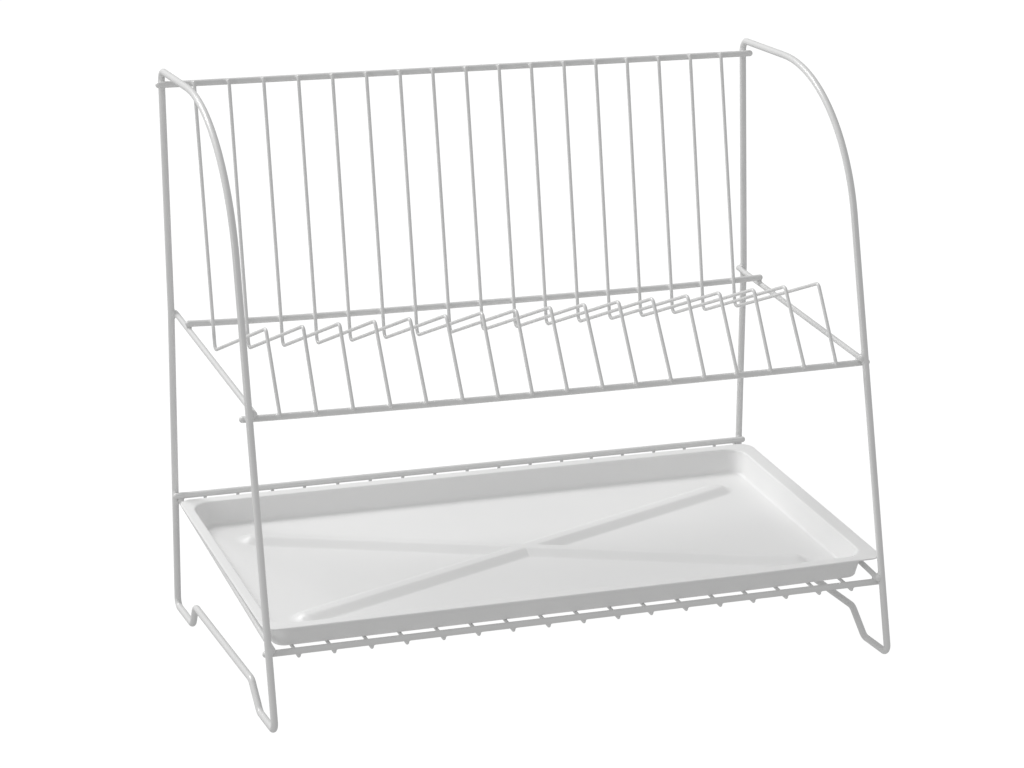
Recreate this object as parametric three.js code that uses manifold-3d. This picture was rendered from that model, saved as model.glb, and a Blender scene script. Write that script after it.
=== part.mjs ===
// Two-tier wire dish drainer with a moulded drip tray.
// Millimetres, +Z up, +Y towards the back. The origin is under the middle of the rack, on the ground.
// Two closed side frames carry five cross bars. Two shelves of thin wires hang on the bars: a plate shelf
// whose wires fold into a rack of slots, and a drip shelf that holds a loose tray.

import * as THREE from "three";
import { mergeVertices } from "three/addons/utils/BufferGeometryUtils.js";
import Module from "manifold-3d";

// Driving dimensions

// Wire sizes and the gap that stands for a weld between two wires
const frameWire = 5.2;
const barWire = 4.9;
const sideBarWire = 4.2;
const thinWire = 2.6;
const weldGap = 0.3;

// Side frames: the wire's centre line, with y measured from the lower back leg, back positive
const legSpacing = 480;
const topWireHeight = 424.5;
const footSpread = 279.5;
const frontLegLeanDegrees = 14.6;
const kinkHeight = 240;
const topSetBack = 14.3;
const archRadius = 136;
const topCornerRadius = 8;
const kinkRadius = 30;
const heelRadius = 7;
const toeRadius = 5.5;
const frontRampRadius = 10;
const backRampRadius = 7;
const frontFootLength = 39.5;
const frontRampLength = 21.8;
const backFootLength = 47.8;
const backRampLength = 9.1;
const groundBarHeight = 20;

// Cross bars and the shelves' side bars
const topBarHeight = 414.5;
const plateFrontBarHeight = 215;
const plateShelfTiltDegrees = 4.8;
const plateBackBarInset = 39;
const dripFrontBarHeight = 54.1;
const dripBackBarHeight = 93.9;
const legBarOverhang = 6;
const dripBarOverhang = 3.2;
const plateBackBarOverhang = 3.9;
const plateSideBarFrontOverrun = 6.3;
const dripSideBarFrontOverrun = 6.4;
const plateSideBarBackOverrun = 4.8;
const dripSideBarBackOverrun = 7.4;

// Plate wires: a leaning back, a low bend, a rise to a peak and a short front leg
const plateWireCount = 17;
const wirePitch = 27.1;
const plateWireTopOverrun = 1.6;
const plateBendDrop = 21;
const plateBendRadius = 4.5;
const platePeakSetBack = 32.7;
const platePeakRise = 56;
const platePeakRadius = 4.5;
const plateWireFrontOverrun = 1.2;

// Drip-shelf wires: they run under the front bar and turn up behind the back bar
const dripWireCount = 17;
const dripTiltDegrees = 4.9;
const dripWireFrontOverrun = 0.6;
const dripWireTopOverrun = 1.5;
const dripHookRadius = 5;

// Drip tray: a shallow pan with sloping walls inside a flat rim
const trayLegClearance = 1.1;
const trayBarClearance = 2.9;
const rimOverhang = 3.2;
const rimThickness = 1.2;
const rimCornerRadius = 10;
const sideRimWidth = 11.2;
const endRimWidth = 7.4;
const trayFloorThickness = 1.5;
const trayWall = 1.65;
const openingCornerRadius = 15.6;
const edgeRounding = 1.6;
const sideWallRun = 3.6;
const frontWallRun = 2.2;
const backWallRun = 7.2;
const floorFillet = 2;
const ridgeHeight = 4.4;
const ridgeBaseWidth = 22;
const ridgeTopWidth = 7;
const ridgeSideInset = 47;
const ridgeFrontInset = 49.2;
const ridgeBackInset = 51.2;
const ridgeRoot = 0.5;
const cutOverrun = 4;

// Facets round each wire, and how far a chord may leave a bend
const frameFacets = 12;
const barFacets = 10;
const thinFacets = 8;
const bendSag = 0.12;
const cornerSteps = 5;
const roundEndSteps = 3;

// Values worked out from the driving dimensions

const radians = THREE.MathUtils.degToRad;
const frontLegSlope = Math.tan(radians(frontLegLeanDegrees));
const plateShelfSlope = Math.tan(radians(plateShelfTiltDegrees));
const dripTilt = radians(dripTiltDegrees);
const dripSlope = Math.tan(dripTilt);
const frameSeat = (frameWire / 2) * Math.cos(Math.PI / frameFacets);
const legToBar = frameWire / 2 + barWire / 2 + weldGap;
const barToBar = barWire / 2 + sideBarWire / 2 + weldGap;
const barToThin = barWire / 2 + thinWire / 2 + weldGap;
const legPlane = legSpacing / 2;
const sideBarPlane = legPlane - frameWire / 2 - sideBarWire / 2 - weldGap;
const mergeReach = weldGap / 1000;

// A corner of a flat path: y, z and the radius of the bend there
function bend(y, z, radius = 0) {
  return { at: new THREE.Vector2(y, z), radius };
}

// The centre of a leg at a height
function frontLegY(z) {
  return -footSpread + frontLegSlope * (z - frameSeat);
}

function backLegY(z) {
  const share = (z - kinkHeight) / (topWireHeight - kinkHeight);
  return topSetBack * Math.max(share, 0);
}

// The points and directions of one round bend
function sampleBend(before, corner, after) {
  const inward = corner.at.clone().sub(before.at).normalize();
  const outward = after.at.clone().sub(corner.at).normalize();
  const turn = Math.atan2(inward.cross(outward), inward.dot(outward));
  const setBack = corner.radius * Math.tan(Math.abs(turn) / 2);
  const start = corner.at.clone().addScaledVector(inward, -setBack);
  const side = new THREE.Vector2(-inward.y, inward.x).multiplyScalar(Math.sign(turn));
  const centre = start.clone().addScaledVector(side, corner.radius);
  const widestStep = 2 * Math.acos(1 - bendSag / corner.radius);
  const steps = Math.max(1, Math.ceil(Math.abs(turn) / widestStep));
  return Array.from({ length: steps + 1 }, (_, k) => {
    const angle = (turn * k) / steps;
    const along = inward.clone().rotateAround(new THREE.Vector2(), angle);
    return { at: start.clone().rotateAround(centre, angle), along };
  });
}

// Samples a flat path of straights and round bends. A closed path comes back to its first sample.
function samplePath(corners, closed) {
  const count = corners.length;
  const samples = corners.flatMap((corner, i) => {
    const before = corners[(i + count - 1) % count];
    const after = corners[(i + 1) % count];
    if (closed || (i > 0 && i < count - 1)) {
      return sampleBend(before, corner, after);
    }
    const along = i === 0 ? after.at.clone().sub(corner.at) : corner.at.clone().sub(before.at);
    return [{ at: corner.at.clone(), along: along.normalize() }];
  });
  return closed ? [...samples, samples[0]] : samples;
}

// A curve in the YZ plane through sampled points, with one equal step of its parameter for each
class WirePath extends THREE.Curve {
  constructor(samples) {
    super();
    this.samples = samples;
  }

  getUtoTmapping(u) {
    return u;
  }

  blended(t, key) {
    const place = t * (this.samples.length - 1);
    const first = Math.min(Math.floor(place), this.samples.length - 2);
    const flat = this.samples[first][key].clone().lerp(this.samples[first + 1][key], place - first);
    return new THREE.Vector3(0, flat.x, flat.y);
  }

  getPoint(t) {
    return this.blended(t, "at");
  }

  getTangent(t) {
    return this.blended(t, "along").normalize();
  }
}

// A wire's cross-section, with flats to both sides, above and below
function wireSection(diameter, facets) {
  const corners = Array.from({ length: facets }, (_, i) => {
    const angle = ((i + 1 / 2) / facets) * 2 * Math.PI;
    return new THREE.Vector2(Math.cos(angle), Math.sin(angle)).multiplyScalar(diameter / 2);
  });
  return new THREE.Shape(corners);
}

// Joins the points that meet and drops the triangles that have no area
function welded(geometry) {
  geometry.deleteAttribute("normal");
  geometry.deleteAttribute("uv");
  const joined = mergeVertices(geometry, mergeReach);
  const corners = joined.index.array;
  const kept = [];
  for (let i = 0; i < corners.length; i += 3) {
    const [a, b, c] = corners.slice(i, i + 3);
    if (a !== b && b !== c && c !== a) {
      kept.push(a, b, c);
    }
  }
  joined.setIndex(kept);
  return joined;
}

// A bent wire. An open one keeps its end faces, a closed one joins its last ring to its first.
function bentWire(corners, diameter, facets, closed = false) {
  const samples = samplePath(corners, closed);
  const swept = new THREE.ExtrudeGeometry(wireSection(diameter, facets), {
    steps: samples.length - 1,
    extrudePath: new WirePath(samples),
  });
  if (closed) {
    const sides = swept.groups.find((group) => group.materialIndex === 1);
    const skin = swept.getAttribute("position").array.slice(sides.start * 3, (sides.start + sides.count) * 3);
    swept.setAttribute("position", new THREE.BufferAttribute(skin, 3));
  }
  return welded(swept);
}

// A straight wire with round ends, from one point to another
function straightWire(from, to, diameter) {
  const radius = diameter / 2;
  const length = from.distanceTo(to);
  const roundEnd = Array.from({ length: roundEndSteps + 1 }, (_, i) => {
    const angle = ((i / roundEndSteps) * Math.PI) / 2;
    return new THREE.Vector2(radius * Math.sin(angle), radius * (1 - Math.cos(angle)));
  });
  const farEnd = roundEnd.map((point) => new THREE.Vector2(point.x, length - point.y)).reverse();
  const geometry = welded(new THREE.LatheGeometry([...roundEnd, ...farEnd], barFacets));
  const direction = to.clone().sub(from).normalize();
  geometry.applyQuaternion(new THREE.Quaternion().setFromUnitVectors(new THREE.Vector3(0, 1, 0), direction));
  geometry.translate(from.x, from.y, from.z);
  return geometry;
}

// Materials

const coatedWire = () => new THREE.MeshStandardMaterial({ color: 0xe4e4e2, roughness: 0.42, metalness: 0 });
const mouldedPlastic = () => new THREE.MeshStandardMaterial({ color: 0xe9e9e7, roughness: 0.38, metalness: 0 });

function piece(name, geometry, material) {
  geometry.computeVertexNormals();
  const mesh = new THREE.Mesh(geometry, material);
  mesh.name = name;
  return mesh;
}

// Side frames

function sideFrameCorners() {
  const frontFootBack = -footSpread + frontFootLength;
  return [
    bend(topSetBack, topWireHeight, topCornerRadius),
    bend(frontLegY(topWireHeight), topWireHeight, archRadius),
    bend(-footSpread, frameSeat, toeRadius),
    bend(frontFootBack, frameSeat, frontRampRadius),
    bend(frontFootBack + frontRampLength, groundBarHeight, frontRampRadius),
    bend(-backFootLength - backRampLength, groundBarHeight, backRampRadius),
    bend(-backFootLength, frameSeat, backRampRadius),
    bend(0, frameSeat, heelRadius),
    bend(0, kinkHeight, kinkRadius),
  ];
}

function sideFrame(label, side) {
  const mesh = piece(`side_frame_${label}`, bentWire(sideFrameCorners(), frameWire, frameFacets, true), coatedWire());
  mesh.position.x = side * legPlane;
  return mesh;
}

// Bars

const topBar = { y: backLegY(topBarHeight) - legToBar, z: topBarHeight };

const plateFrontBar = {
  y: frontLegY(plateFrontBarHeight) + legToBar * Math.hypot(1, frontLegSlope),
  z: plateFrontBarHeight,
};

// The plate shelf's side bars lie on the front bar and carry the back bar
function plateSideBarZ(y) {
  return plateFrontBar.z + barToBar * Math.hypot(1, plateShelfSlope) + plateShelfSlope * (y - plateFrontBar.y);
}

const plateBackBar = {
  y: -plateBackBarInset,
  z: plateSideBarZ(-plateBackBarInset) + barToBar * Math.hypot(1, plateShelfSlope),
};

const dripFrontBar = {
  y: frontLegY(dripFrontBarHeight) + legToBar * Math.hypot(1, frontLegSlope),
  z: dripFrontBarHeight,
};

const dripBackBar = { y: -legToBar, z: dripBackBarHeight };

// The drip shelf's side bars run over the front bar and under the back bar
const dripBarRun = new THREE.Vector2(dripBackBar.y - dripFrontBar.y, dripBackBar.z - dripFrontBar.z);
const dripSideSlope = Math.tan(dripBarRun.angle() - Math.asin((2 * barToBar) / dripBarRun.length()));

function dripSideBarZ(y) {
  return dripFrontBar.z + barToBar * Math.hypot(1, dripSideSlope) + dripSideSlope * (y - dripFrontBar.y);
}

function crossBar(name, bar, halfLength) {
  const from = new THREE.Vector3(-halfLength, bar.y, bar.z);
  const to = new THREE.Vector3(halfLength, bar.y, bar.z);
  return piece(name, straightWire(from, to, barWire), coatedWire());
}

function sideBar(name, side, frontY, backY, heightAt) {
  const from = new THREE.Vector3(side * sideBarPlane, frontY, heightAt(frontY));
  const to = new THREE.Vector3(side * sideBarPlane, backY, heightAt(backY));
  return piece(name, straightWire(from, to, sideBarWire), coatedWire());
}

function crossBars() {
  return [
    crossBar("top_back_bar", topBar, legPlane + legBarOverhang),
    crossBar("plate_shelf_back_bar", plateBackBar, sideBarPlane + plateBackBarOverhang),
    crossBar("plate_shelf_front_bar", plateFrontBar, legPlane + legBarOverhang),
    crossBar("drip_shelf_back_bar", dripBackBar, legPlane + dripBarOverhang),
    crossBar("drip_shelf_front_bar", dripFrontBar, legPlane + dripBarOverhang),
  ];
}

function shelfSideBars(label, side) {
  const plateFrontY = plateFrontBar.y - plateSideBarFrontOverrun;
  const dripFrontY = dripFrontBar.y - dripSideBarFrontOverrun;
  const dripBackY = dripBackBar.y + dripSideBarBackOverrun;
  return [
    sideBar(`plate_shelf_side_bar_${label}`, side, plateFrontY, plateSideBarBackOverrun, plateSideBarZ),
    sideBar(`drip_shelf_side_bar_${label}`, side, dripFrontY, dripBackY, dripSideBarZ),
  ];
}

// Thin wires

// Where a line from a point touches a circle on the side that faces forwards and up
function touchPoint(from, centre, radius) {
  const toCentre = centre.clone().sub(from);
  const reach = Math.sqrt(toCentre.lengthSq() - radius * radius);
  const spread = Math.asin(radius / toCentre.length());
  const along = toCentre.clone().normalize().rotateAround(new THREE.Vector2(), -spread);
  return { at: from.clone().addScaledVector(along, reach), along };
}

function plateWireCorners() {
  const top = new THREE.Vector2(topBar.y, topBar.z);
  const back = new THREE.Vector2(plateBackBar.y, plateBackBar.z);
  const front = new THREE.Vector2(plateFrontBar.y, plateFrontBar.z);
  const down = back.clone().sub(top).normalize();
  const forwards = new THREE.Vector2(down.y, -down.x);
  const topEnd = top.clone().addScaledVector(forwards, barToThin).addScaledVector(down, -plateWireTopOverrun);
  const low = back.clone().addScaledVector(forwards, barToThin).addScaledVector(down, plateBendDrop);
  const peak = front.clone().add(new THREE.Vector2(platePeakSetBack, platePeakRise));
  const touch = touchPoint(peak, front, barToThin);
  const frontEnd = touch.at.clone().addScaledVector(touch.along, plateWireFrontOverrun);
  return [
    bend(topEnd.x, topEnd.y),
    bend(low.x, low.y, plateBendRadius),
    bend(peak.x, peak.y, platePeakRadius),
    bend(frontEnd.x, frontEnd.y),
  ];
}

// The centre of a drip wire's long run
function dripWireZ(y) {
  return dripFrontBar.z - barToThin * Math.hypot(1, dripSlope) + dripSlope * (y - dripFrontBar.y);
}

function dripWireCorners() {
  const frontY = dripFrontBar.y - dripWireFrontOverrun;
  const hookY = dripBackBar.y + barToThin;
  return [
    bend(frontY, dripWireZ(frontY)),
    bend(hookY, dripWireZ(hookY), dripHookRadius),
    bend(hookY, dripBackBar.z + dripWireTopOverrun),
  ];
}

function wireRow(label, corners, count) {
  return Array.from({ length: count }, (_, i) => {
    const number = String(i + 1).padStart(2, "0");
    const mesh = piece(`${label}_${number}`, bentWire(corners, thinWire, thinFacets), coatedWire());
    mesh.position.x = (i - (count - 1) / 2) * wirePitch;
    return mesh;
  });
}

// Drip tray

// The rim's back edge rests on the side bars, its front edge is behind the front legs, and the floor
// is just above the drip wires. The tray's own frame starts at the top of the rim's front edge.
const trayBackY = dripBackBar.y - barWire / 2 - trayBarClearance;
const sideBarTop = dripSideBarZ(trayBackY) + (sideBarWire / 2) * Math.hypot(1, dripSideSlope);
const trayBackZ = sideBarTop + weldGap + rimThickness / Math.cos(dripTilt);
const legBackFace = frontLegY(0) + (frameWire / 2) * Math.hypot(1, frontLegSlope) + trayLegClearance;
const trayFrontY =
  (legBackFace + frontLegSlope * (trayBackZ - dripSlope * trayBackY)) / (1 - frontLegSlope * dripSlope);
const trayFrontZ = trayBackZ - dripSlope * (trayBackY - trayFrontY);
const trayDepth = (trayBackY - trayFrontY) / Math.cos(dripTilt);
const dripWireTop = dripWireZ(trayFrontY) + thinWire / 2 / Math.cos(dripTilt);
const trayHeight = (trayFrontZ - dripWireTop) * Math.cos(dripTilt) - weldGap;
const rimHalfWidth = legPlane + rimOverhang;

// One ring of points of the pan: a rounded rectangle, moved in from the rim's flat by an inset and by a share
// of each wall's run
function panRing(z, inset, share = 0) {
  const halfWidth = rimHalfWidth - sideRimWidth - inset - share * sideWallRun;
  const front = endRimWidth + inset + share * frontWallRun;
  const back = trayDepth - endRimWidth - inset - share * backWallRun;
  return roundedRing(z, halfWidth, front, back, openingCornerRadius - (inset + share * sideWallRun) / 2);
}

function roundedRing(z, halfWidth, front, back, radius) {
  const corners = [
    [halfWidth - radius, back - radius],
    [radius - halfWidth, back - radius],
    [radius - halfWidth, front + radius],
    [halfWidth - radius, front + radius],
  ];
  return corners.flatMap(([x, y], quarter) =>
    Array.from({ length: cornerSteps + 1 }, (_, k) => {
      const angle = ((quarter + k / cornerSteps) * Math.PI) / 2;
      return new THREE.Vector3(x + radius * Math.cos(angle), y + radius * Math.sin(angle), z);
    }),
  );
}

// A ring with straight sides and round ends, along X
function longRing(z, halfLength, halfWidth) {
  return [1, -1].flatMap((end) =>
    Array.from({ length: cornerSteps + 1 }, (_, k) => {
      const angle = (k / cornerSteps - 1 / 2) * Math.PI;
      const x = end * (halfLength + halfWidth * Math.cos(angle));
      return new THREE.Vector3(x, end * halfWidth * Math.sin(angle), z);
    }),
  );
}

// A closed solid through a stack of rings, lowest first
function loft(rings) {
  const size = rings[0].length;
  const index = [];
  for (let ring = 0; ring + 1 < rings.length; ring += 1) {
    for (let i = 0; i < size; i += 1) {
      const a = ring * size + i;
      const b = ring * size + ((i + 1) % size);
      index.push(a, b, b + size, a, b + size, a + size);
    }
  }
  const top = (rings.length - 1) * size;
  for (let i = 1; i + 1 < size; i += 1) {
    index.push(0, i + 1, i, top, top + i, top + i + 1);
  }
  const geometry = new THREE.BufferGeometry().setFromPoints(rings.flat());
  geometry.setIndex(index);
  return geometry;
}

const floorTop = trayFloorThickness - trayHeight;

function panCavity() {
  return loft([
    panRing(floorTop, edgeRounding + floorFillet / 2, 1),
    panRing(floorTop + floorFillet, edgeRounding - floorFillet / 2, 1),
    panRing(-edgeRounding, edgeRounding),
    panRing(-edgeRounding / 4, edgeRounding / 4),
    panRing(0, 0),
    panRing(cutOverrun, 0),
  ]);
}

function panOutside() {
  return loft([
    panRing(-trayHeight, edgeRounding + floorFillet / 2, 1),
    panRing(-trayHeight + floorFillet, edgeRounding - floorFillet / 2 - trayWall, 1),
    panRing(-edgeRounding, edgeRounding - trayWall),
    panRing(-rimThickness / 2, -trayWall / 2),
  ]);
}

function rimPlate() {
  return loft([-rimThickness, 0].map((z) => roundedRing(z, rimHalfWidth, 0, trayDepth, rimCornerRadius)));
}

// The two ridges that cross on the floor, each with sloping sides and round ends
function ridge(side) {
  const halfRun = rimHalfWidth - ridgeSideInset;
  const front = ridgeFrontInset;
  const back = trayDepth - ridgeBackInset;
  const halfLength = Math.hypot(halfRun, (back - front) / 2);
  const geometry = loft([
    longRing(floorTop - ridgeRoot, halfLength, ridgeBaseWidth / 2),
    longRing(floorTop, halfLength, ridgeBaseWidth / 2),
    longRing(floorTop + ridgeHeight, halfLength, ridgeTopWidth / 2),
  ]);
  geometry.rotateZ(side * Math.atan2((back - front) / 2, halfRun));
  geometry.translate(0, (front + back) / 2, 0);
  return geometry;
}

function toSolid(wasm, geometry) {
  const joined = welded(geometry);
  return new wasm.Manifold(
    new wasm.Mesh({
      numProp: 3,
      vertProperties: joined.getAttribute("position").array,
      triVerts: Uint32Array.from(joined.index.array),
    }),
  );
}

function fromSolid(solid) {
  const mesh = solid.getMesh();
  const geometry = new THREE.BufferGeometry();
  geometry.setAttribute("position", new THREE.BufferAttribute(mesh.vertProperties, 3));
  geometry.setIndex(Array.from(mesh.triVerts));
  return geometry;
}

function dripTray(wasm) {
  const shell = toSolid(wasm, rimPlate())
    .add(toSolid(wasm, panOutside()))
    .subtract(toSolid(wasm, panCavity()));
  const whole = shell.add(toSolid(wasm, ridge(1))).add(toSolid(wasm, ridge(-1)));
  const mesh = piece("drip_tray", fromSolid(whole), mouldedPlastic());
  mesh.position.set(0, trayFrontY, trayFrontZ);
  mesh.rotation.x = dripTilt;
  return mesh;
}

// The whole drainer

// The outline's foremost and rearmost points, which the origin lies midway between
function outlineMiddle() {
  const ys = samplePath(sideFrameCorners(), true).map((sample) => sample.at.x);
  return (Math.min(...ys) + Math.max(...ys)) / 2;
}

const wasm = await Module();
wasm.setup();

const drainer = new THREE.Group();
drainer.position.y = -outlineMiddle();
drainer.add(sideFrame("left", -1), sideFrame("right", 1));
drainer.add(...crossBars(), ...shelfSideBars("left", -1), ...shelfSideBars("right", 1));
drainer.add(...wireRow("plate_wire", plateWireCorners(), plateWireCount));
drainer.add(...wireRow("drip_wire", dripWireCorners(), dripWireCount));
drainer.add(dripTray(wasm));

export default drainer;
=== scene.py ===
"""Looks of a two-tier wire dish drainer with a loose moulded drip tray.

Sizes are in millimetres as on a workshop drawing: x to the right, y backwards from the lower back leg, z up
from the ground. Drawing.place turns them into metres in the model's frame.
"""

from __future__ import annotations

import logging
import math
from dataclasses import dataclass, field
from enum import Enum
from typing import Callable, Sequence

import bmesh
import bpy
import numpy as np
from mathutils import Matrix

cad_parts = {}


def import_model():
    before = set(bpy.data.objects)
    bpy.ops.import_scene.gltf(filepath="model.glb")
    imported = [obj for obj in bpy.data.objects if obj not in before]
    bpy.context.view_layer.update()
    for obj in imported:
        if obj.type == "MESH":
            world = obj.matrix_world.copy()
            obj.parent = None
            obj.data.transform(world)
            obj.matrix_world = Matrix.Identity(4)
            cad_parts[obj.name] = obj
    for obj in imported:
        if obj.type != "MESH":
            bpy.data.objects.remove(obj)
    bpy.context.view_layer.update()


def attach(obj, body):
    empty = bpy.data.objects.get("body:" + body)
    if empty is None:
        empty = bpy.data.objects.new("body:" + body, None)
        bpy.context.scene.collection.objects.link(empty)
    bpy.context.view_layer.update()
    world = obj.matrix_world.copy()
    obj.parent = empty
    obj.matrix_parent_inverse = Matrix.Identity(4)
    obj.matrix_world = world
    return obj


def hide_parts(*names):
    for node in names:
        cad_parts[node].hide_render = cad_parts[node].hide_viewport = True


log = logging.getLogger("drainer")

METRES = 0.001
QUARTER = math.pi / 2
TINY = 1e-12
FAR_AWAY = 1e3
STEEP = 0.7
COATING = "coating"
WHITE = (1.0, 1.0, 1.0, 1.0)


class Side(Enum):
    """The two sides of the rack, with the sign of x there."""

    LEFT = -1
    RIGHT = 1


# Surfaces


@dataclass
class Surface:
    """A skin of quads and triangles with one coating thickness per point."""

    points: np.ndarray
    quads: np.ndarray
    coating: np.ndarray
    tris: np.ndarray = field(default_factory=lambda: np.zeros((0, 3), int))

    def to_mesh(self, name: str) -> bpy.types.Mesh:
        """Returns a new smooth mesh of this name, in metres."""
        mesh = bpy.data.meshes.new(name)
        corners = np.concatenate([self.quads.ravel(), self.tris.ravel()]).astype(np.int32)
        sizes = np.repeat([4, 3], [len(self.quads), len(self.tris)]).astype(np.int32)
        starts = np.concatenate([[0], np.cumsum(sizes)[:-1]]).astype(np.int32)
        mesh.vertices.add(len(self.points))
        mesh.vertices.foreach_set("co", self.points.astype(np.float32).ravel())
        mesh.loops.add(len(corners))
        mesh.loops.foreach_set("vertex_index", corners)
        mesh.polygons.add(len(sizes))
        mesh.polygons.foreach_set("loop_start", starts)
        mesh.polygons.foreach_set("use_smooth", np.ones(len(sizes), bool))
        mesh.update(calc_edges=True)
        thickness = mesh.attributes.new(COATING, "FLOAT", "POINT")
        thickness.data.foreach_set("value", self.coating.astype(np.float32))
        mesh.validate()
        return mesh


def grid_quads(
    rows: int, columns: int, closed_rows: bool = False, closed_columns: bool = True
) -> np.ndarray:
    """Indexes the quads of a grid of points.

    The quad of row i and column j joins (i, j), (i, j + 1), (i + 1, j + 1) and (i + 1, j).

    Args:
        rows: How many rows of points there are.
        columns: How many points a row has.
        closed_rows: Whether the last row joins the first.
        closed_columns: Whether a row's last point joins its first.

    Returns:
        An array of four point numbers per quad.
    """
    i = np.arange(rows if closed_rows else rows - 1)[:, None]
    j = np.arange(columns if closed_columns else columns - 1)[None, :]
    ahead = (i + 1) % rows
    beside = (j + 1) % columns
    corners = [i * columns + j, i * columns + beside, ahead * columns + beside, ahead * columns + j]
    return np.stack(np.broadcast_arrays(*corners), axis=-1).reshape(-1, 4)


def unit(vectors: np.ndarray) -> np.ndarray:
    """Returns the vectors divided by their lengths."""
    return vectors / np.maximum(np.linalg.norm(vectors, axis=-1, keepdims=True), TINY)


def smooth_step(value: np.ndarray, low: float, high: float) -> np.ndarray:
    """Returns 3t² - 2t³, with t the value's share of the way from low to high, held to 0 and 1."""
    share = np.clip((value - low) / (high - low), 0, 1)
    return share * share * (3 - 2 * share)


def rounded_line(
    corners: np.ndarray, radii: Sequence[float], turn_step: float, closed: bool = False
) -> np.ndarray:
    """Rounds the corners of a line of straights.

    At a corner with directions a before and b after, side is the unit vector along b - (a.b)a, and the arc is
    centre - radius cos(angle) side + radius sin(angle) a.

    Args:
        corners: The corner points, one row each.
        radii: The bend radius at each corner.
        turn_step: The largest turn between two points, in degrees.
        closed: Whether the last corner joins the first.

    Returns:
        The points of the rounded line. A closed one doesn't repeat its first point.
    """
    count = len(corners)
    pieces = []
    for index in range(count):
        if not closed and index in (0, count - 1):
            pieces.append(corners[index][None])
            continue
        here = corners[index]
        before = unit(here - corners[index - 1])
        after = unit(corners[(index + 1) % count] - here)
        turn = math.acos(float(np.clip(before @ after, -1, 1)))
        radius = radii[index]
        side = unit(after - (before @ after) * before)
        centre = here - before * radius * math.tan(turn / 2) + side * radius
        angle = np.linspace(0, turn, max(2, math.ceil(math.degrees(turn) / turn_step) + 1))[:, None]
        pieces.append(centre - side * radius * np.cos(angle) + before * radius * np.sin(angle))
    return np.concatenate(pieces)


# Wires


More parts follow.
